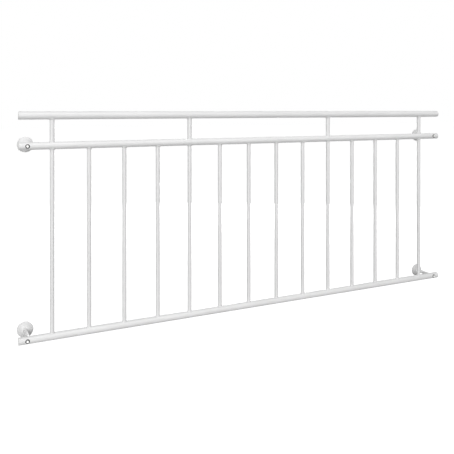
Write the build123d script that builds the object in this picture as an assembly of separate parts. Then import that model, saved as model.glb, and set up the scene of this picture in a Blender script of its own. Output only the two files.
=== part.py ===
from build123d import *
import math
import os

# Juliet balcony railing: three round rails, a row of balusters welded between the lower two,
# short posts that carry the handrail, and four wall brackets under spun cover rosettes.
# Millimetres. X runs along the railing, Y points into the wall and Z is up. The origin is the
# centre of the lower left bracket's wall face, so the wall is the plane Y = 0.

# Overall sizes
railing_length = 2000.0
railing_height = 850.0
wall_standoff = 110.0
handrail_spacing = 112.0

# Rail tubes
handrail_diameter = 30.0
frame_rail_diameter = 28.0
rail_wall = 2.0

# Balusters and handrail posts
baluster_diameter = 16.0
baluster_wall = 1.2
post_diameter = 18.0
post_wall = 1.5
largest_gap = 120.0
end_overhang = 118.0
post_count = 4

# End caps
cap_thickness = 3.0
cap_rim_radius = 1.4
cap_spigot_length = 12.0
cap_spigot_wall = 1.5
cap_spigot_clearance = 0.1

# Wall brackets
bracket_inset = 31.0
stem_diameter = 16.0
stem_root_radius = 2.0
plate_diameter = 50.0
plate_thickness = 4.0
plate_edge_chamfer = 0.8
wall_screw_count = 3
wall_screw_setback = 8.0
wall_screw_hole = 6.5
wall_screw_head = 12.0
wall_screw_sink = 2.8

# Screws that hold the rails to the bracket stems
clamp_screw_hole = 7.0
thread_bore = 5.0
thread_depth = 25.0

# Cover rosettes
rosette_skin = 1.2
rosette_plate_clearance = 3.8
rosette_headroom = 9.0
rosette_neck = 3.0
rosette_rim_radius = 2.0

cut_overrun = 5.0

# Sizes that follow from those above
handrail_radius = handrail_diameter / 2
frame_rail_radius = frame_rail_diameter / 2
stem_radius = stem_diameter / 2
plate_radius = plate_diameter / 2
rosette_radius = plate_radius + rosette_plate_clearance + rosette_skin
rosette_depth = plate_thickness + rosette_headroom

# Places of the rails
rail_y = -wall_standoff
left_end = -bracket_inset
right_end = left_end + railing_length
lower_rail_z = 0
handrail_z = lower_rail_z + railing_height - frame_rail_radius - handrail_radius
upper_rail_z = handrail_z - handrail_spacing
rail_heights = {"handrail": handrail_z, "upper_rail": upper_rail_z, "lower_rail": lower_rail_z}
rail_radii = {"handrail": handrail_radius, "upper_rail": frame_rail_radius, "lower_rail": frame_rail_radius}

# Places along the rails: the fewest equal gaps that stay within the largest gap
baluster_span = railing_length - 2 * end_overhang
gap_count = math.ceil(baluster_span / (largest_gap + baluster_diameter))
baluster_pitch = baluster_span / gap_count
baluster_places = [left_end + end_overhang + baluster_pitch * i for i in range(gap_count + 1)]
post_places = [baluster_places[round(gap_count * i / (post_count - 1))] for i in range(post_count)]
bracket_places = {"left": left_end + bracket_inset, "right": right_end - bracket_inset}


def round_bar_x(radius, start, end, z):
    """A round bar along X on the rails' plane."""
    middle = Pos((start + end) / 2, rail_y, z)
    return middle * Rot(0, 90, 0) * Cylinder(radius, end - start)


def round_bar_y(radius, x, start, end, z):
    """A round bar along Y, square to the wall."""
    middle = Pos(x, (start + end) / 2, z)
    return middle * Rot(90, 0, 0) * Cylinder(radius, end - start)


def round_bar_z(radius, x, start, end):
    """An upright round bar on the rails' plane."""
    middle = Pos(x, rail_y, (start + end) / 2)
    return middle * Cylinder(radius, end - start)


def rail_tube(rail):
    """A rail between its two end caps."""
    start = left_end + cap_thickness
    end = right_end - cap_thickness
    radius = rail_radii[rail]
    z = rail_heights[rail]
    bore = round_bar_x(radius - rail_wall, start - cut_overrun, end + cut_overrun, z)
    return round_bar_x(radius, start, end, z) - bore


def bracketed_rail(rail):
    """A rail drilled from front to rear for the clamp screw at each bracket."""
    tube = rail_tube(rail)
    front = rail_y - rail_radii[rail] - cut_overrun
    rear = rail_y + rail_radii[rail] + cut_overrun
    for x in bracket_places.values():
        tube -= round_bar_y(clamp_screw_hole / 2, x, front, rear, rail_heights[rail])
    return tube


def end_cap(rail, x, turn):
    """A moulded cap: a disc with a rounded rim and a hollow spigot that plugs the tube."""
    disc = Pos(0, 0, -cap_thickness / 2) * Cylinder(rail_radii[rail], cap_thickness)
    disc = fillet(disc.edges().sort_by(Axis.Z)[-1], cap_rim_radius)
    spigot_radius = rail_radii[rail] - rail_wall - cap_spigot_clearance
    spigot = Cylinder(spigot_radius, cap_spigot_length)
    spigot -= Cylinder(spigot_radius - cap_spigot_wall, cap_spigot_length)
    cap = disc + Pos(0, 0, -cap_thickness - cap_spigot_length / 2) * spigot
    return Pos(x, rail_y, rail_heights[rail]) * Rot(0, turn, 0) * cap


def coped_tube(x, diameter, wall, rail_below, rail_above):
    """An upright tube whose ends are fish-mouthed to sit on the rails below and above."""
    radius = diameter / 2
    bottom = rail_heights[rail_below]
    top = rail_heights[rail_above]
    tube = round_bar_z(radius, x, bottom, top) - round_bar_z(radius - wall, x, bottom, top)
    for rail in (rail_below, rail_above):
        tube -= round_bar_x(rail_radii[rail], x - diameter, x + diameter, rail_heights[rail])
    return tube


def rings(solid, radius):
    """The round edges of that radius on a solid that stands along Z, lowest first."""
    circles = solid.edges().filter_by(GeomType.CIRCLE)
    return circles.filter_by(lambda edge: math.isclose(edge.radius, radius)).sort_by(Axis.Z)


def wall_screw_cuts():
    """Countersunk screw holes on a circle, cut from the front of a bracket plate."""
    hole = Pos(0, 0, plate_thickness / 2) * Cylinder(wall_screw_hole / 2, plate_thickness)
    sink = Cone(wall_screw_hole / 2, wall_screw_head / 2, wall_screw_sink)
    hole += Pos(0, 0, plate_thickness - wall_screw_sink / 2) * sink
    return PolarLocations(plate_radius - wall_screw_setback, wall_screw_count, start_angle=90) * hole


def wall_bracket():
    """A round wall plate and its stem, saddle-cut to the rail, standing along Z off the wall."""
    plate = Pos(0, 0, plate_thickness / 2) * Cylinder(plate_radius, plate_thickness)
    plate = chamfer(plate.edges().sort_by(Axis.Z)[-1], plate_edge_chamfer)
    stem = Pos(0, 0, wall_standoff / 2) * Cylinder(stem_radius, wall_standoff)
    bracket = plate + stem
    bracket = fillet(rings(bracket, stem_radius)[0], stem_root_radius)
    saddle = Pos(0, 0, wall_standoff) * Rot(0, 90, 0) * Cylinder(frame_rail_radius, 2 * stem_diameter)
    bore_depth = frame_rail_radius + thread_depth
    bore = Pos(0, 0, wall_standoff - bore_depth / 2) * Cylinder(thread_bore / 2, bore_depth)
    bracket -= saddle + bore
    for cut in wall_screw_cuts():
        bracket -= cut
    return bracket


def cover_rosette():
    """A spun sheet cover: a straight rim round the plate, a ball-shaped dome and a neck on the stem."""
    neck_radius = stem_radius + rosette_neck
    rim_top = (rosette_radius, plate_thickness)
    neck_edge = (neck_radius, rosette_depth)
    rise = rosette_depth - plate_thickness
    reach = rosette_radius**2 - neck_radius**2
    dome_radius = math.hypot(rosette_radius, (reach / rise - rise) / 2)
    sheet = Line((rosette_radius, 0), rim_top)
    sheet += RadiusArc(rim_top, neck_edge, -dome_radius)
    sheet += Line(neck_edge, (stem_radius, rosette_depth))
    outline = offset(Wire(sheet.edges()), rosette_skin, side=Side.LEFT, kind=Kind.INTERSECTION)
    section = make_face(outline.edges())
    shoulder, inner_shoulder = section.vertices().sort_by_distance(rim_top)[:2]
    section = fillet(shoulder, rosette_rim_radius)
    inner_shoulder = section.vertices().sort_by_distance(inner_shoulder)[0]
    section = fillet(inner_shoulder, rosette_rim_radius - rosette_skin)
    return revolve(Plane.XZ * section, Axis.Z)


def build_parts():
    """Every piece of the railing, under the name of its node."""
    parts = {
        "handrail": rail_tube("handrail"),
        "upper_rail": bracketed_rail("upper_rail"),
        "lower_rail": bracketed_rail("lower_rail"),
    }
    for rail in rail_heights:
        parts[f"{rail}_cap_left"] = end_cap(rail, left_end, -90)
        parts[f"{rail}_cap_right"] = end_cap(rail, right_end, 90)
    for number, x in enumerate(baluster_places, start=1):
        baluster = coped_tube(x, baluster_diameter, baluster_wall, "lower_rail", "upper_rail")
        parts[f"baluster_{number:02d}"] = baluster
    for number, x in enumerate(post_places, start=1):
        post = coped_tube(x, post_diameter, post_wall, "upper_rail", "handrail")
        parts[f"handrail_post_{number}"] = post
    for level in ("upper", "lower"):
        for side, x in bracket_places.items():
            off_wall = Pos(x, 0, rail_heights[f"{level}_rail"]) * Rot(90, 0, 0)
            parts[f"wall_bracket_{level}_{side}"] = off_wall * wall_bracket()
            parts[f"cover_rosette_{level}_{side}"] = off_wall * cover_rosette()
    return parts


os.makedirs("parts", exist_ok=True)
for node, solid in build_parts().items():
    export_step(solid, os.path.join("parts", f"{node}.step"))
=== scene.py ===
import math

import bmesh
import bpy
from mathutils import Matrix, Vector


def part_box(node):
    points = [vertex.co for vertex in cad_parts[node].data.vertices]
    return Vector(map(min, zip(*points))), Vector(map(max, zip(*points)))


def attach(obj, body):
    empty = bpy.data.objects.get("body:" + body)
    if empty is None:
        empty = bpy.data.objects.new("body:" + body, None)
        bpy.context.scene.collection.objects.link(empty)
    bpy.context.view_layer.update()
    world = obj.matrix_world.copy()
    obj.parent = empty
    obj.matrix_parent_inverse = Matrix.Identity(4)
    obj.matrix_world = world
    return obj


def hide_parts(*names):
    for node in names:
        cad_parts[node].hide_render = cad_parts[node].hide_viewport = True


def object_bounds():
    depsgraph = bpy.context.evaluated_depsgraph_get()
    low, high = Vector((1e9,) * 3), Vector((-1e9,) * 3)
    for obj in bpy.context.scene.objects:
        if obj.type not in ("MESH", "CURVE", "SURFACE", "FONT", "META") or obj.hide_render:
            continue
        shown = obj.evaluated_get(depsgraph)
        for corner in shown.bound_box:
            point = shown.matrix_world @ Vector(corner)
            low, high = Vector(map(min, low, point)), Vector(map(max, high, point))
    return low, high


# A juliet balcony railing of white tube. Metres, in the part's own frame: X runs along the railing,
# Y points into the wall and Z is up.

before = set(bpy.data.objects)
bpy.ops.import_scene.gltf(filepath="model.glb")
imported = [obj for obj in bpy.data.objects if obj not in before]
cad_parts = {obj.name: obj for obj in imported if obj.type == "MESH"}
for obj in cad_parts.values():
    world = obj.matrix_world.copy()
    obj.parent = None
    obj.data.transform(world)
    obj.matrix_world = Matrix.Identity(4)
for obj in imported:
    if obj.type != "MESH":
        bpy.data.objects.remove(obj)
cad_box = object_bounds()

# Names of the railing's pieces in the frame
RAILS = ("handrail", "upper_rail", "lower_rail")
LEVELS = ("upper", "lower")
SIDES = ("left", "right")
BALUSTERS = sorted(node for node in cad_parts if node.startswith("baluster_"))
POSTS = sorted(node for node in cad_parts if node.startswith("handrail_post_"))

QUARTER_TURN = math.radians(90)

# Flats round each kind of piece, and steps along the round stretches of a profile
RAIL_FLATS = 96
BALUSTER_FLATS = 64
ROSETTE_FLATS = 96
SCREW_FLATS = 48
WASHER_FLATS = 72
CAP_RIM_STEPS = 8
ROSETTE_RIM_STEPS = 6
ROSETTE_DOME_STEPS = 16
SCREW_DOME_STEPS = 6

# Faces that meet at more than this angle have a sharp edge between them
TURNED_SHARP_ANGLE = math.radians(32)
TUBE_SHARP_ANGLE = math.radians(40)
BEAD_SHARP_ANGLE = math.radians(75)

# Tubes and their caps
RAIL_WALL = 0.0020
RAIL_EDGE_BREAK = 0.0003
BALUSTER_WALL = 0.0012
POST_WALL = 0.0015
CAP_RIM_RADIUS = 0.0014
CAP_JOINT_GROOVE = 0.0004
CAP_SPIGOT_WALL = 0.0015
CAP_SPIGOT_CLEARANCE = 0.0001
GATE_MARK_RADIUS = 0.0020
GATE_MARK_SLOPE = 0.0004
GATE_MARK_DEPTH = 0.0003

# Weld beads
BEAD_RADIUS = 0.0019
BEAD_LIFT_SHARE = 0.30
BEAD_STEPS = 120
BEAD_FLATS = 8
BEAD_RIPPLES = 30
BEAD_RIPPLE_SHARE = 0.14
BEAD_UNEVENNESS = 0.0005
BEAD_NOISE_WAVES = 260.0

# Cover rosettes
STEM_RADIUS = 0.0080
ROSETTE_NECK = 0.0030
ROSETTE_SKIN = 0.0012
ROSETTE_RIM_HEIGHT = 0.0040
ROSETTE_RIM_RADIUS = 0.0020

# Clamp screws and the saddle washers under them
SCREW_HEAD_RADIUS = 0.0048
SCREW_HEAD_HEIGHT = 0.0033
SCREW_RIM_HEIGHT = 0.0006
SCREW_CROWN_RADIUS = 0.0027
SCREW_SOCKET_SIDES = 6
SCREW_SOCKET_FLAT = 0.0020
SCREW_SOCKET_BREAK = 0.0003
SCREW_SOCKET_DEPTH = 0.0021
SCREW_DRILL_POINT = 0.0006
SCREW_LARGEST_TURN = 2 * math.pi / SCREW_SOCKET_SIDES
SCREW_TURN_SEED = 7
WASHER_RADIUS = 0.0080
WASHER_BORE_RADIUS = 0.0033
WASHER_THICKNESS = 0.0015
WASHER_EDGE = 0.0004

# The range that most of a noise pattern lies in
NOISE_LOW = 0.3
NOISE_MIDDLE = 0.5
NOISE_HIGH = 0.7

# Powder coat: noise in waves to the metre, bumps with a strength and a depth
COAT_DRIFT_WAVES = 5.0
COAT_PATCH_WAVES = 60.0
COAT_PEEL_WAVES = 650.0
COAT_PEEL_STRENGTH = 0.10
COAT_PEEL_DEPTH = 0.00006
COAT_NIB_WAVES = 240.0
COAT_NIB_RARITY = 9.0
COAT_NIB_STRENGTH = 0.3
COAT_NIB_DEPTH = 0.0002
COAT_ROUGHNESS = (0.38, 0.47)
COAT_SPECULAR = 0.4
TUBE_COAT_TONES = (0.80, 0.84)
# The brackets' tones are the tubes' white powder coat made lighter: painted light on the bracket stems
BRACKET_COAT_PAINTED_LIGHT_TONES = (0.86, 0.90)
# The rosettes' tones are the tubes' white powder coat made darker: painted shade on the cover rosettes
ROSETTE_COAT_PAINTED_SHADE_TONES = (0.74, 0.78)

# Moulded plastic of the caps
PLASTIC_DARK = (0.79, 0.79, 0.78)
PLASTIC_LIGHT = (0.83, 0.83, 0.82)
PLASTIC_CLOUD_WAVES = 90.0
PLASTIC_GRAIN_WAVES = 2600.0
PLASTIC_GRAIN_STRENGTH = 0.25
PLASTIC_GRAIN_DEPTH = 0.0001
PLASTIC_ROUGHNESS = (0.40, 0.54)
PLASTIC_SPECULAR = 0.45

# Zinc plate of the screws
ZINC_DARK = (0.74, 0.74, 0.72)
ZINC_LIGHT = (0.84, 0.84, 0.83)
ZINC_BLOOM_WAVES = 900.0
ZINC_RING_PITCH = 0.00035
ZINC_RING_STRENGTH = 0.25
ZINC_RING_DEPTH = 0.00003
ZINC_ROUGHNESS = (0.24, 0.38)

# Rubber of the washers
RUBBER_DARK = (0.055, 0.056, 0.058)
RUBBER_LIGHT = (0.085, 0.086, 0.088)
RUBBER_BLOOM_WAVES = 420.0
RUBBER_GRAIN_WAVES = 3200.0
RUBBER_GRAIN_STRENGTH = 0.3
RUBBER_GRAIN_DEPTH = 0.0001
RUBBER_ROUGHNESS = (0.55, 0.72)

# Camera, from the photograph, which is square
CAMERA_PLACE = (-0.1534, -2.2472, 0.8426)
CAMERA_YAW = math.radians(24.01)
PHOTO_SIDE_PX = 454
FOCAL_PX = 551.5
HORIZON_ROW_PX = 109.6
SENSOR_WIDTH_MM = 36.0

# Studio
FLOOR_DROP = 1.15
FLOOR_SIZE = 120.0
FLOOR_TONE = 0.42
FLOOR_ROUGHNESS = 0.9
FLOOR_LIFT = 0.95
FILL_STRENGTH = 0.16
FRONT_LIGHT_PLACE = (-3.20, -8.40, 2.20)
FRONT_LIGHT_SIZE = (3.0, 2.4)
FRONT_LIGHT_WATTS = 455.0
TOP_LIGHT_PLACE = (0.60, -4.40, 8.40)
TOP_LIGHT_SIZE = (4.5, 3.6)
TOP_LIGHT_WATTS = 350.0
BACK_LIGHT_PLACE = (5.20, 8.30, 0.60)
BACK_LIGHT_SIZE = (4.0, 3.0)
BACK_LIGHT_WATTS = 420.0


# Sizes that the frame gives


def middle(node):
    """The centre of a frame node's box."""
    low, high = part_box(node)
    return (low + high) / 2


def rail_axis(rail):
    """The point on a rail's axis at the origin's X, from its left cap."""
    place = middle(f"{rail}_cap_left")
    return Vector((0, place.y, place.z))


def rail_radius(rail):
    """A rail's outer radius, from its left cap."""
    low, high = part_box(f"{rail}_cap_left")
    return (high.z - low.z) / 2


cap_low, cap_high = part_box("lower_rail_cap_left")
tube_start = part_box("lower_rail")[0].x
cap_thickness = tube_start - cap_low.x
cap_spigot_length = cap_high.x - tube_start
rosette_low, rosette_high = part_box("cover_rosette_lower_left")
rosette_radius = (rosette_high.x - rosette_low.x) / 2
rosette_depth = rosette_high.y - rosette_low.y


# Meshes and pieces


def spun(profile, flats, closed, radius_at=None):
    """A bmesh turned about Z from a profile of (radius, height) points.

    A closed profile is a ring's section, and an open one starts and ends on the axis.
    """
    shape = bmesh.new()
    rings = []
    for station, (radius, height) in enumerate(profile):
        if radius == 0:
            rings.append([shape.verts.new((0, 0, height))])
            continue
        ring = []
        for flat in range(flats):
            angle = 2 * math.pi * flat / flats
            reach = radius_at(station, radius, angle) if radius_at else radius
            ring.append(shape.verts.new((reach * math.cos(angle), reach * math.sin(angle), height)))
        rings.append(ring)
    following = rings[1:] + rings[:1] if closed else rings[1:]
    for ring, onward in zip(rings, following):
        for flat in range(flats):
            corners = [ring[flat % len(ring)], ring[(flat + 1) % len(ring)]]
            corners += [onward[(flat + 1) % len(onward)], onward[flat % len(onward)]]
            # A point on the axis counts once, so its faces are triangles
            shape.faces.new(list(dict.fromkeys(corners)))
    return shape


def arc(centre, radius, start, end, steps):
    """Points of a round stretch in a profile, with both its ends."""
    out, up = centre
    angles = [start + (end - start) * step / steps for step in range(steps + 1)]
    return [(out + radius * math.cos(angle), up + radius * math.sin(angle)) for angle in angles]


def turned(shape, axis, angle, place):
    """Turns a bmesh about an axis through the origin, then moves it to its place."""
    move = Matrix.Translation(place) @ Matrix.Rotation(angle, 4, axis)
    bmesh.ops.transform(shape, matrix=move, verts=shape.verts)
    return shape


def smooth_mesh(name, shape):
    """A mesh from a bmesh, smooth but for its sharp edges."""
    bmesh.ops.recalc_face_normals(shape, faces=shape.faces)
    mesh = bpy.data.meshes.new(name)
    shape.to_mesh(mesh)
    shape.free()
    mesh.shade_smooth()
    mesh.set_sharp_from_angle(angle=TURNED_SHARP_ANGLE)
    return mesh


def new_object(name, data):
    """An object in the scene with that mesh, lamp or camera."""
    made = bpy.data.objects.new(name, data)
    bpy.context.scene.collection.objects.link(made)
    return made


def set_finish(piece, finish):
    """Gives a piece one material all over."""
    piece.data.materials.clear()
    piece.data.materials.append(finish)


def place_piece(piece, stands_for=()):
    """Fixes a piece to the railing's one body and hides the frame nodes it stands for."""
    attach(piece, "root")
    if stands_for:
        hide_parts(*stands_for)


def new_piece(name, shape, finish, stands_for):
    """A finished piece of the railing from a bmesh."""
    piece = new_object(name, smooth_mesh(name, shape))
    set_finish(piece, finish)
    place_piece(piece, stands_for)


# Nodes


def add_node(tree, kind, sockets=(), **settings):
    """A node with its settings made and its sockets set or linked."""
    node = tree.nodes.new(kind)
    for setting, value in settings.items():
        setattr(node, setting, value)
    for socket, value in dict(sockets).items():
        if isinstance(value, bpy.types.NodeSocket):
            tree.links.new(value, node.inputs[socket])
        else:
            node.inputs[socket].default_value = value
    return node


def result(tree, kind, sockets=(), **settings):
    """The first output of a new node."""
    return add_node(tree, kind, sockets, **settings).outputs[0]


def worked(tree, operation, first, second=0.0):
    """The result of one step of arithmetic in a node tree."""
    return result(tree, "ShaderNodeMath", {0: first, 1: second}, operation=operation)


def noise(tree, pattern, waves, detail=2.0):
    """A noise pattern with that many waves to the metre."""
    sockets = {"Vector": pattern, "Scale": waves, "Detail": detail}
    return add_node(tree, "ShaderNodeTexNoise", sockets).outputs["Fac"]


# Materials


def new_finish(name):
    """A material with its shader and its pattern coordinates."""
    material = bpy.data.materials.new(name)
    material.use_nodes = True
    tree = material.node_tree
    shader = tree.nodes["Principled BSDF"]
    pattern = add_node(tree, "ShaderNodeTexCoord").outputs["Object"]
    return material, tree, shader, pattern


def tone_ramp(tree, factor, dark, light):
    """A colour that drifts between two tones over a pattern's range."""
    ramp = add_node(tree, "ShaderNodeValToRGB", {"Fac": factor})
    ramp.color_ramp.elements[0].position = NOISE_LOW
    ramp.color_ramp.elements[0].color = (*dark, 1)
    ramp.color_ramp.elements[1].position = NOISE_HIGH
    ramp.color_ramp.elements[1].color = (*light, 1)
    return ramp.outputs["Color"]


def ranged(tree, factor, low, high):
    """A pattern's range mapped to a range of values."""
    span = {"From Min": NOISE_LOW, "From Max": NOISE_HIGH, "To Min": low, "To Max": high}
    return add_node(tree, "ShaderNodeMapRange", {"Value": factor} | span).outputs["Result"]


def bumped(tree, height, strength, depth, under=None):
    """A bump of that depth in metres, over another bump where one is given."""
    sockets = {"Strength": strength, "Distance": depth, "Height": height}
    if under:
        sockets["Normal"] = under
    return add_node(tree, "ShaderNodeBump", sockets).outputs["Normal"]


def link_finish(tree, shader, colour, roughness, normal):
    """Links a finish's patterns to its shader."""
    tree.links.new(colour, shader.inputs["Base Color"])
    tree.links.new(roughness, shader.inputs["Roughness"])
    tree.links.new(normal, shader.inputs["Normal"])


def powder_coat(name, tones):
    """White powder coat: a faint drift of tone, uneven gloss, orange peel and a few dust nibs."""
    material, tree, shader, pattern = new_finish(name)
    dark, light = [(tone, tone, tone) for tone in tones]
    drift = noise(tree, pattern, COAT_DRIFT_WAVES, detail=3.0)
    patches = noise(tree, pattern, COAT_PATCH_WAVES)
    peel = noise(tree, pattern, COAT_PEEL_WAVES, detail=1.0)
    nibs = worked(tree, "POWER", noise(tree, pattern, COAT_NIB_WAVES, detail=0.0), COAT_NIB_RARITY)
    colour = tone_ramp(tree, drift, dark, light)
    roughness = ranged(tree, patches, *COAT_ROUGHNESS)
    peeled = bumped(tree, peel, COAT_PEEL_STRENGTH, COAT_PEEL_DEPTH)
    normal = bumped(tree, nibs, COAT_NIB_STRENGTH, COAT_NIB_DEPTH, under=peeled)
    link_finish(tree, shader, colour, roughness, normal)
    shader.inputs["Specular IOR Level"].default_value = COAT_SPECULAR
    return material


def moulded_plastic(name):
    """White moulded plastic with a fine eroded grain."""
    material, tree, shader, pattern = new_finish(name)
    cloud = noise(tree, pattern, PLASTIC_CLOUD_WAVES)
    grain = noise(tree, pattern, PLASTIC_GRAIN_WAVES, detail=3.0)
    colour = tone_ramp(tree, cloud, PLASTIC_DARK, PLASTIC_LIGHT)
    roughness = ranged(tree, grain, *PLASTIC_ROUGHNESS)
    normal = bumped(tree, grain, PLASTIC_GRAIN_STRENGTH, PLASTIC_GRAIN_DEPTH)
    link_finish(tree, shader, colour, roughness, normal)
    shader.inputs["Specular IOR Level"].default_value = PLASTIC_SPECULAR
    return material


def bright_zinc(name):
    """Bright zinc-plated steel with turned rings round the screw's axis."""
    material, tree, shader, pattern = new_finish(name)
    from_axis = add_node(tree, "ShaderNodeAttribute", attribute_name="from_axis").outputs["Fac"]
    rings = worked(tree, "SINE", worked(tree, "MULTIPLY", from_axis, 2 * math.pi / ZINC_RING_PITCH))
    bloom = noise(tree, pattern, ZINC_BLOOM_WAVES, detail=3.0)
    colour = tone_ramp(tree, bloom, ZINC_DARK, ZINC_LIGHT)
    roughness = ranged(tree, bloom, *ZINC_ROUGHNESS)
    normal = bumped(tree, rings, ZINC_RING_STRENGTH, ZINC_RING_DEPTH)
    link_finish(tree, shader, colour, roughness, normal)
    shader.inputs["Metallic"].default_value = 1.0
    return material


def washer_rubber(name):
    """Dark grey rubber with a dusty bloom and a fine grain."""
    material, tree, shader, pattern = new_finish(name)
    bloom = noise(tree, pattern, RUBBER_BLOOM_WAVES, detail=3.0)
    grain = noise(tree, pattern, RUBBER_GRAIN_WAVES)
    colour = tone_ramp(tree, bloom, RUBBER_DARK, RUBBER_LIGHT)
    roughness = ranged(tree, bloom, *RUBBER_ROUGHNESS)
    normal = bumped(tree, grain, RUBBER_GRAIN_STRENGTH, RUBBER_GRAIN_DEPTH)
    link_finish(tree, shader, colour, roughness, normal)
    return material


tube_coat = powder_coat("tube_powder_coat", TUBE_COAT_TONES)
# A lighter copy of the same white powder coat for the brackets, a painted light on their stems
bracket_coat_painted_light = powder_coat("bracket_powder_coat", BRACKET_COAT_PAINTED_LIGHT_TONES)
# A darker copy of the same white powder coat for the rosettes, a painted shade on them
rosette_coat_painted_shade = powder_coat("rosette_powder_coat", ROSETTE_COAT_PAINTED_SHADE_TONES)
cap_plastic = moulded_plastic("cap_plastic")
screw_zinc = bright_zinc("screw_zinc")
washer_dark = washer_rubber("washer_rubber")


# Rails and end caps


def rail_tube(rail):
    """A rail with its true wall and broken edges at both ends."""
    low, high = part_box(rail)
    radius = rail_radius(rail)
    bore = radius - RAIL_WALL
    profile = [
        (bore, low.x),
        (radius - RAIL_EDGE_BREAK, low.x),
        (radius, low.x + RAIL_EDGE_BREAK),
        (radius, high.x - RAIL_EDGE_BREAK),
        (radius - RAIL_EDGE_BREAK, high.x),
        (bore, high.x),
    ]
    shape = turned(spun(profile, RAIL_FLATS, closed=True), "Y", QUARTER_TURN, rail_axis(rail))
    new_piece(f"{rail}_tube", shape, tube_coat, [rail])


def end_cap(rail, side):
    """A moulded cap with a rounded rim, a gate mark, a groove at the tube and a hollow spigot."""
    inner = -cap_thickness
    tip = inner - cap_spigot_length
    radius = rail_radius(rail)
    spigot = radius - RAIL_WALL - CAP_SPIGOT_CLEARANCE
    rim_centre = (radius - CAP_RIM_RADIUS, -CAP_RIM_RADIUS)
    profile = [(0, -GATE_MARK_DEPTH), (GATE_MARK_RADIUS - GATE_MARK_SLOPE, -GATE_MARK_DEPTH)]
    profile += [(GATE_MARK_RADIUS, 0)]
    profile += arc(rim_centre, CAP_RIM_RADIUS, QUARTER_TURN, 0, CAP_RIM_STEPS)
    profile += [(radius, inner + CAP_JOINT_GROOVE), (radius - CAP_JOINT_GROOVE, inner)]
    profile += [(spigot, inner), (spigot, tip), (spigot - CAP_SPIGOT_WALL, tip)]
    profile += [(spigot - CAP_SPIGOT_WALL, inner), (0, inner)]
    node = f"{rail}_cap_{side}"
    low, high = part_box(node)
    outwards = 1 if side == "right" else -1
    face = high.x if side == "right" else low.x
    place = rail_axis(rail) + Vector((face, 0, 0))
    shape = turned(spun(profile, RAIL_FLATS, closed=False), "Y", outwards * QUARTER_TURN, place)
    new_piece(f"{rail}_end_cap_{side}", shape, cap_plastic, [node])


for rail in RAILS:
    rail_tube(rail)
    for side in SIDES:
        end_cap(rail, side)


# Geometry Nodes for what repeats


def new_tree(name, inputs):
    """A Geometry Nodes tree that works on places and has these named inputs."""
    tree = bpy.data.node_groups.new(name, "GeometryNodeTree")
    tree.interface.new_socket("Places", in_out="INPUT", socket_type="NodeSocketGeometry")
    for label, kind in inputs.items():
        tree.interface.new_socket(label, in_out="INPUT", socket_type=f"NodeSocket{kind}")
    tree.interface.new_socket("Pieces", in_out="OUTPUT", socket_type="NodeSocketGeometry")
    return tree, add_node(tree, "NodeGroupInput").outputs


def place_parts(tree):
    """The X, Y and Z of the points that a tree works on."""
    place = result(tree, "GeometryNodeInputPosition")
    return add_node(tree, "ShaderNodeSeparateXYZ", {0: place}).outputs


def at_height(tree, shape, height):
    """Keeps a shape's X and Y and gives it a new height."""
    parts = place_parts(tree)
    place = result(tree, "ShaderNodeCombineXYZ", {"X": parts["X"], "Y": parts["Y"], "Z": height})
    return result(tree, "GeometryNodeSetPosition", {"Geometry": shape, "Position": place})


def circle(tree, points, radius):
    """A round path about Z with that many points."""
    sockets = {"Resolution": points, "Radius": radius}
    return result(tree, "GeometryNodeCurvePrimitiveCircle", sockets)


def swept(tree, path, section, scale=1.0):
    """A section swept along a path at a scale."""
    sockets = {"Curve": path, "Profile Curve": section, "Scale": scale}
    return result(tree, "GeometryNodeCurveToMesh", sockets)


def softened(tree, shape, sharpest):
    """Smooth faces with sharp edges where they turn by more than an angle."""
    turn = add_node(tree, "GeometryNodeInputMeshEdgeAngle").outputs["Unsigned Angle"]
    sharp = result(tree, "FunctionNodeCompare", {"A": turn, "B": sharpest}, operation="GREATER_THAN")
    faces = {"Geometry": shape, "Shade Smooth": True}
    smooth = result(tree, "GeometryNodeSetShadeSmooth", faces, domain="FACE")
    edges = {"Geometry": smooth, "Selection": sharp, "Shade Smooth": False}
    return result(tree, "GeometryNodeSetShadeSmooth", edges, domain="EDGE")


def realized_at(tree, places, part, rotation=None):
    """A part set on every place, as real geometry."""
    sockets = {"Points": places, "Instance": part}
    if rotation:
        sockets["Rotation"] = rotation
    set_out = result(tree, "GeometryNodeInstanceOnPoints", sockets)
    return result(tree, "GeometryNodeRealizeInstances", {"Geometry": set_out})


def end_tree(tree, pieces, finish):
    """Closes a tree with one material on its realized pieces."""
    coated = result(tree, "GeometryNodeSetMaterial", {"Geometry": pieces, "Material": finish})
    add_node(tree, "NodeGroupOutput", {0: coated})
    return tree


def grown(name, places, tree, sizes):
    """The plain mesh piece that a tree makes at these places."""
    points = bpy.data.meshes.new(f"{name}_places")
    points.from_pydata(places, [], [])
    piece = new_object(name, points)
    modifier = piece.modifiers.new(tree.name, "NODES")
    modifier.node_group = tree
    for socket in tree.interface.items_tree:
        if socket.in_out == "INPUT" and socket.name in sizes:
            modifier[socket.identifier] = sizes[socket.name]
    evaluated = piece.evaluated_get(bpy.context.evaluated_depsgraph_get())
    finished = bpy.data.meshes.new_from_object(evaluated)
    piece.modifiers.remove(modifier)
    piece.data = finished
    finished.name = name
    bpy.data.meshes.remove(points)
    return piece


# Balusters, posts and their welds


def saddle_height(tree, rail, across):
    """How high the surface of a rail of that radius stands over its axis, at a distance across it."""
    rail_squared = worked(tree, "MULTIPLY", rail, rail)
    across_squared = worked(tree, "MULTIPLY", across, across)
    return worked(tree, "SQRT", worked(tree, "SUBTRACT", rail_squared, across_squared))


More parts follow.
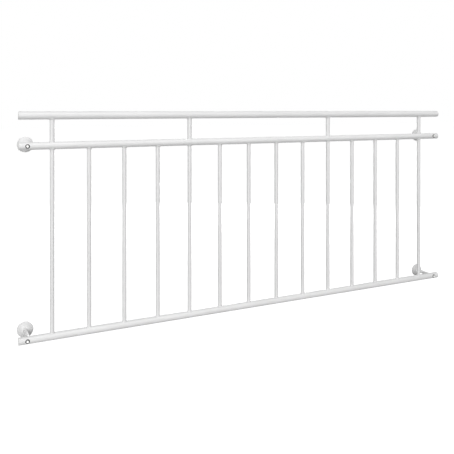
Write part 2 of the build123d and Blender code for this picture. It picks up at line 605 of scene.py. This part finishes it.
def coped_tubes_tree():
    """Upright tubes from rail to rail: a wall section swept round, then fish-mouthed to both rails."""
    sizes = ("Tube Radius", "Tube Wall", "Lower Rail Radius", "Upper Rail Radius", "Rail Spacing")
    inputs = {size: "Float" for size in sizes} | {"Flats": "Int", "Finish": "Material"}
    tree, given = new_tree("coped_tubes", inputs)
    half_wall = worked(tree, "MULTIPLY", given["Tube Wall"], 0.5)
    ring = circle(tree, given["Flats"], worked(tree, "SUBTRACT", given["Tube Radius"], half_wall))
    wall = {"Width": given["Tube Wall"], "Height": 1.0}
    tube = swept(tree, ring, result(tree, "GeometryNodeCurvePrimitiveQuadrilateral", wall))
    parts = place_parts(tree)
    foot = saddle_height(tree, given["Lower Rail Radius"], parts["Y"])
    head_drop = saddle_height(tree, given["Upper Rail Radius"], parts["Y"])
    head = worked(tree, "SUBTRACT", given["Rail Spacing"], head_drop)
    # The section is one unit high about its middle, so this runs from 0 at the foot to 1 at the head
    share = worked(tree, "ADD", parts["Z"], 0.5)
    rise = worked(tree, "MULTIPLY", share, worked(tree, "SUBTRACT", head, foot))
    tube = at_height(tree, tube, worked(tree, "ADD", foot, rise))
    tube = softened(tree, tube, TUBE_SHARP_ANGLE)
    return end_tree(tree, realized_at(tree, given["Places"], tube), given["Finish"])


def bead_on_rail(tree, given, rail):
    """One rippled bead round the foot of a tube that stands on a rail of that radius."""
    path = circle(tree, given["Steps"], worked(tree, "ADD", given["Tube Radius"], given["Bead Lift"]))
    saddle = saddle_height(tree, rail, place_parts(tree)["Y"])
    path = at_height(tree, path, worked(tree, "ADD", saddle, given["Bead Lift"]))
    round_path = add_node(tree, "GeometryNodeSplineParameter").outputs["Factor"]
    phase = worked(tree, "MULTIPLY", worked(tree, "MULTIPLY", round_path, given["Ripples"]), math.pi)
    ripple = worked(tree, "ABSOLUTE", worked(tree, "SINE", phase))
    fullness = worked(tree, "SUBTRACT", 1.0, worked(tree, "MULTIPLY", ripple, given["Ripple Share"]))
    section = circle(tree, given["Flats"], given["Bead Radius"])
    return swept(tree, path, section, fullness)


def weld_beads_tree():
    """Rippled weld beads round both ends of coped tubes, each a little uneven in its own way."""
    rails = ("Lower Rail Radius", "Upper Rail Radius", "Rail Spacing")
    sizes = ("Tube Radius", *rails, "Bead Radius", "Bead Lift", "Ripple Share", "Unevenness")
    counts = ("Steps", "Flats", "Ripples")
    inputs = {size: "Float" for size in sizes} | {count: "Int" for count in counts}
    tree, given = new_tree("weld_beads", inputs | {"Finish": "Material"})
    foot = bead_on_rail(tree, given, given["Lower Rail Radius"])
    head = bead_on_rail(tree, given, given["Upper Rail Radius"])
    up = result(tree, "ShaderNodeCombineXYZ", {"Z": given["Rail Spacing"]})
    half_turn = {"Geometry": head, "Translation": up, "Rotation": (math.pi, 0, 0)}
    both = add_node(tree, "GeometryNodeJoinGeometry")
    tree.links.new(foot, both.inputs[0])
    tree.links.new(result(tree, "GeometryNodeTransform", half_turn), both.inputs[0])
    beads = realized_at(tree, given["Places"], both.outputs[0])
    place = result(tree, "GeometryNodeInputPosition")
    rough = worked(tree, "SUBTRACT", noise(tree, place, BEAD_NOISE_WAVES), NOISE_MIDDLE)
    swell = worked(tree, "MULTIPLY", rough, given["Unevenness"])
    outwards = result(tree, "GeometryNodeInputNormal")
    shift = result(tree, "ShaderNodeVectorMath", {0: outwards, "Scale": swell}, operation="SCALE")
    beads = result(tree, "GeometryNodeSetPosition", {"Geometry": beads, "Offset": shift})
    beads = softened(tree, beads, BEAD_SHARP_ANGLE)
    return end_tree(tree, beads, given["Finish"])


def tubes_between(lower, upper, nodes, wall, tubes, welds):
    """A row of coped tubes and their welds between two rails, where the frame has these nodes."""
    base = rail_axis(lower)
    places = [(middle(node).x, base.y, base.z) for node in nodes]
    low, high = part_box(nodes[0])
    sizes = {
        "Tube Radius": (high.x - low.x) / 2,
        "Tube Wall": wall,
        "Lower Rail Radius": rail_radius(lower),
        "Upper Rail Radius": rail_radius(upper),
        "Rail Spacing": rail_axis(upper).z - base.z,
        "Finish": tube_coat,
    }
    row = grown(tubes, places, coped_tubes, sizes | {"Flats": BALUSTER_FLATS})
    place_piece(row, nodes)
    bead = {
        "Bead Radius": BEAD_RADIUS,
        "Bead Lift": BEAD_RADIUS * BEAD_LIFT_SHARE,
        "Ripple Share": BEAD_RIPPLE_SHARE,
        "Unevenness": BEAD_UNEVENNESS,
        "Steps": BEAD_STEPS,
        "Flats": BEAD_FLATS,
        "Ripples": BEAD_RIPPLES,
    }
    beads = grown(welds, places, weld_beads, sizes | bead)
    place_piece(beads)


coped_tubes = coped_tubes_tree()
weld_beads = weld_beads_tree()
tubes_between("lower_rail", "upper_rail", BALUSTERS, BALUSTER_WALL, "baluster_row", "baluster_welds")
tubes_between("upper_rail", "handrail", POSTS, POST_WALL, "handrail_posts", "post_welds")


# Wall brackets and cover rosettes


def rosette_sheet(inset):
    """One face of the rosette's sheet from its wall edge to its neck, set in from the outer face."""
    neck = STEM_RADIUS + ROSETTE_NECK
    rise = rosette_depth - ROSETTE_RIM_HEIGHT
    ball_drop = ((rosette_radius**2 - neck**2) / rise - rise) / 2
    ball_centre = ROSETTE_RIM_HEIGHT - ball_drop
    ball = math.hypot(rosette_radius, ball_drop)
    bend_reach = rosette_radius - ROSETTE_RIM_RADIUS
    bend_height = ball_centre + math.sqrt((ball - ROSETTE_RIM_RADIUS) ** 2 - bend_reach**2)
    bend_end = math.atan2(bend_height - ball_centre, bend_reach)
    neck_angle = math.acos(neck / (ball - inset))
    sheet = [(rosette_radius - inset, 0)]
    sheet += arc((bend_reach, bend_height), ROSETTE_RIM_RADIUS - inset, 0, bend_end, ROSETTE_RIM_STEPS)
    sheet += arc((0, ball_centre), ball - inset, bend_end, neck_angle, ROSETTE_DOME_STEPS)[1:]
    sheet += [(STEM_RADIUS, sheet[-1][1])]
    return sheet


def cover_rosette(level, side):
    """A spun sheet cover over a bracket's wall plate, open to the wall."""
    node = f"cover_rosette_{level}_{side}"
    profile = rosette_sheet(0) + rosette_sheet(ROSETTE_SKIN)[::-1]
    wall_place = Vector((middle(node).x, rosette_high.y, middle(node).z))
    shape = turned(spun(profile, ROSETTE_FLATS, closed=True), "X", QUARTER_TURN, wall_place)
    # The rosette takes the darker copy of the coat: painted shade over its dome
    new_piece(f"rosette_{level}_{side}", shape, rosette_coat_painted_shade, [node])


for level in LEVELS:
    for side in SIDES:
        cover_rosette(level, side)
        # The wall brackets take the lighter copy of the coat: painted light on their stems
        set_finish(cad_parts[f"wall_bracket_{level}_{side}"], bracket_coat_painted_light)


# Clamp screws on their saddle washers


def screw_shape():
    """A button head with a six-sided socket, standing on Z."""
    half_side = math.pi / SCREW_SOCKET_SIDES
    socket_corner = SCREW_SOCKET_FLAT / math.cos(half_side)
    socket_rim = socket_corner + SCREW_SOCKET_BREAK
    socket_floor = SCREW_HEAD_HEIGHT - SCREW_SOCKET_DEPTH
    dome_rise = SCREW_HEAD_HEIGHT - SCREW_RIM_HEIGHT
    profile = [(0, 0), (SCREW_HEAD_RADIUS, 0), (SCREW_HEAD_RADIUS, SCREW_RIM_HEIGHT)]
    for step in range(1, SCREW_DOME_STEPS + 1):
        share = step / SCREW_DOME_STEPS
        radius = SCREW_HEAD_RADIUS + (SCREW_CROWN_RADIUS - SCREW_HEAD_RADIUS) * share
        profile.append((radius, SCREW_RIM_HEIGHT + dome_rise * math.sin(share * math.pi / 2)))
    profile += [(socket_rim, SCREW_HEAD_HEIGHT), (socket_corner, SCREW_HEAD_HEIGHT - SCREW_SOCKET_BREAK)]
    first_hexagon = len(profile) - 1
    profile += [(socket_corner, socket_floor), (0, socket_floor - SCREW_DRILL_POINT)]

    def six_sided(station, radius, angle):
        """A profile's radius, or inside the socket the reach of its six sides."""
        if station < first_hexagon:
            return radius
        off_flat = (angle + half_side) % (2 * half_side) - half_side
        return SCREW_SOCKET_FLAT / math.cos(off_flat)

    return spun(profile, SCREW_FLATS, closed=False, radius_at=six_sided)


def washer_shape():
    """A thin flat washer with broken upper edges, standing on Z."""
    edge_foot = WASHER_THICKNESS - WASHER_EDGE
    profile = [
        (WASHER_BORE_RADIUS, 0),
        (WASHER_RADIUS, 0),
        (WASHER_RADIUS, edge_foot),
        (WASHER_RADIUS - WASHER_EDGE, WASHER_THICKNESS),
        (WASHER_BORE_RADIUS + WASHER_EDGE, WASHER_THICKNESS),
        (WASHER_BORE_RADIUS, edge_foot),
    ]
    return spun(profile, WASHER_FLATS, closed=True)


def bent_to_rail(shape, radius):
    """Lays a flat shape on the round front of a rail of that radius, with the rail's axis along X."""
    for vertex in shape.verts:
        reach = radius + vertex.co.z
        angle = vertex.co.y / radius
        vertex.co.y = reach * math.sin(angle)
        vertex.co.z = reach * math.cos(angle)
    return shape


def part_for_repeats(name, shape):
    """A part that a tree repeats, with each point's distance from the part's axis kept on it."""
    mesh = smooth_mesh(name, shape)
    from_axis = mesh.attributes.new("from_axis", "FLOAT", "POINT")
    for vertex, value in zip(mesh.vertices, from_axis.data):
        value.value = math.hypot(vertex.co.x, vertex.co.z)
    return new_object(name, mesh)


def repeated_part_tree():
    """A part repeated at places, each turned about Y by its own angle up to the largest turn."""
    inputs = {"Part": "Object", "Largest Turn": "Float", "Turn Seed": "Int", "Finish": "Material"}
    tree, given = new_tree("repeated_part", inputs)
    turn = add_node(tree, "FunctionNodeRandomValue", data_type="FLOAT")
    # The node's sockets for numbers share their names with others, so identifiers find them
    turn_inputs = {socket.identifier: socket for socket in turn.inputs}
    turn_inputs["Min_001"].default_value = 0.0
    tree.links.new(given["Largest Turn"], turn_inputs["Max_001"])
    tree.links.new(given["Turn Seed"], turn_inputs["Seed"])
    angle = next(socket for socket in turn.outputs if socket.enabled)
    about = result(tree, "FunctionNodeAxisAngleToRotation", {"Axis": (0, 1, 0), "Angle": angle})
    part = add_node(tree, "GeometryNodeObjectInfo", {"Object": given["Part"]}).outputs["Geometry"]
    return end_tree(tree, realized_at(tree, given["Places"], part, about), given["Finish"])


def clamp_screws():
    """A screw and its washer on the front of each bracketed rail, at each bracket."""
    places = []
    for level in LEVELS:
        axis = rail_axis(f"{level}_rail")
        places += [(middle(f"cover_rosette_{level}_{side}").x, axis.y, axis.z) for side in SIDES]
    tree = repeated_part_tree()
    radius = rail_radius("upper_rail")
    seat = Vector((0, -radius - WASHER_THICKNESS, 0))
    screw = part_for_repeats("screw_part", turned(screw_shape(), "X", QUARTER_TURN, seat))
    washer_bent = turned(bent_to_rail(washer_shape(), radius), "X", QUARTER_TURN, (0, 0, 0))
    washer = part_for_repeats("washer_part", washer_bent)
    own_turns = {"Largest Turn": SCREW_LARGEST_TURN, "Turn Seed": SCREW_TURN_SEED}
    screw_sizes = {"Part": screw, "Finish": screw_zinc} | own_turns
    washer_sizes = {"Part": washer, "Finish": washer_dark, "Largest Turn": 0.0}
    place_piece(grown("clamp_screws", places, tree, screw_sizes))
    place_piece(grown("clamp_washers", places, tree, washer_sizes))
    for part in (screw, washer):
        bpy.data.objects.remove(part)


clamp_screws()


# Studio and camera


def seen_directly(tree):
    """One on rays that show the background as it is: from the camera, or through gloss and glass."""
    path = add_node(tree, "ShaderNodeLightPath").outputs
    shown = worked(tree, "MAXIMUM", path["Is Camera Ray"], path["Is Glossy Ray"])
    return worked(tree, "MAXIMUM", shown, path["Is Transmission Ray"])


def studio_world():
    """A white room to look at that fills the object with softer light."""
    world = bpy.data.worlds.new("studio")
    world.use_nodes = True
    tree = world.node_tree
    lift = worked(tree, "MULTIPLY", seen_directly(tree), 1.0 - FILL_STRENGTH)
    tree.links.new(worked(tree, "ADD", lift, FILL_STRENGTH), tree.nodes["Background"].inputs["Strength"])
    tree.nodes["Background"].inputs["Color"].default_value = (1, 1, 1, 1)
    bpy.context.scene.world = world


def studio_floor():
    """A plain pale floor well below the railing, white to look at and open to shadows."""
    half = FLOOR_SIZE / 2
    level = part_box("lower_rail")[0].z - FLOOR_DROP
    mesh = bpy.data.meshes.new("studio_floor")
    corners = [(-half, -half, level), (half, -half, level), (half, half, level), (-half, half, level)]
    mesh.from_pydata(corners, [], [(0, 1, 2, 3)])
    floor = new_object("studio_floor", mesh)
    paint = bpy.data.materials.new("studio_floor")
    paint.use_nodes = True
    tree = paint.node_tree
    shader = tree.nodes["Principled BSDF"]
    shader.inputs["Base Color"].default_value = (FLOOR_TONE, FLOOR_TONE, FLOOR_TONE, 1)
    shader.inputs["Roughness"].default_value = FLOOR_ROUGHNESS
    shader.inputs["Specular IOR Level"].default_value = 0.0
    shader.inputs["Emission Color"].default_value = (1, 1, 1, 1)
    lift = worked(tree, "MULTIPLY", seen_directly(tree), FLOOR_LIFT)
    tree.links.new(lift, shader.inputs["Emission Strength"])
    set_finish(floor, paint)


def soft_light(name, place, size, watts):
    """A large lamp turned to the middle of the railing."""
    lamp = bpy.data.lights.new(name, "AREA")
    lamp.shape = "RECTANGLE"
    lamp.size = size[0]
    lamp.size_y = size[1]
    lamp.energy = watts
    light = new_object(name, lamp)
    light.location = place
    towards = (cad_box[0] + cad_box[1]) / 2 - light.location
    light.rotation_euler = towards.to_track_quat("-Z", "Y").to_euler()


def photo_camera():
    """A level camera with the photograph's angle, its view shifted down to the photograph's frame."""
    view = bpy.data.cameras.new("photo_camera")
    view.sensor_width = SENSOR_WIDTH_MM
    view.lens = SENSOR_WIDTH_MM * FOCAL_PX / PHOTO_SIDE_PX
    view.shift_y = (HORIZON_ROW_PX - PHOTO_SIDE_PX / 2) / PHOTO_SIDE_PX
    camera = new_object("photo_camera", view)
    camera.location = CAMERA_PLACE
    camera.rotation_euler = (QUARTER_TURN, 0, -CAMERA_YAW)
    bpy.context.scene.camera = camera


studio_world()
studio_floor()
soft_light("front_light", FRONT_LIGHT_PLACE, FRONT_LIGHT_SIZE, FRONT_LIGHT_WATTS)
soft_light("top_light", TOP_LIGHT_PLACE, TOP_LIGHT_SIZE, TOP_LIGHT_WATTS)
soft_light("back_light", BACK_LIGHT_PLACE, BACK_LIGHT_SIZE, BACK_LIGHT_WATTS)
photo_camera()
bpy.context.scene.view_settings.view_transform = "Standard"
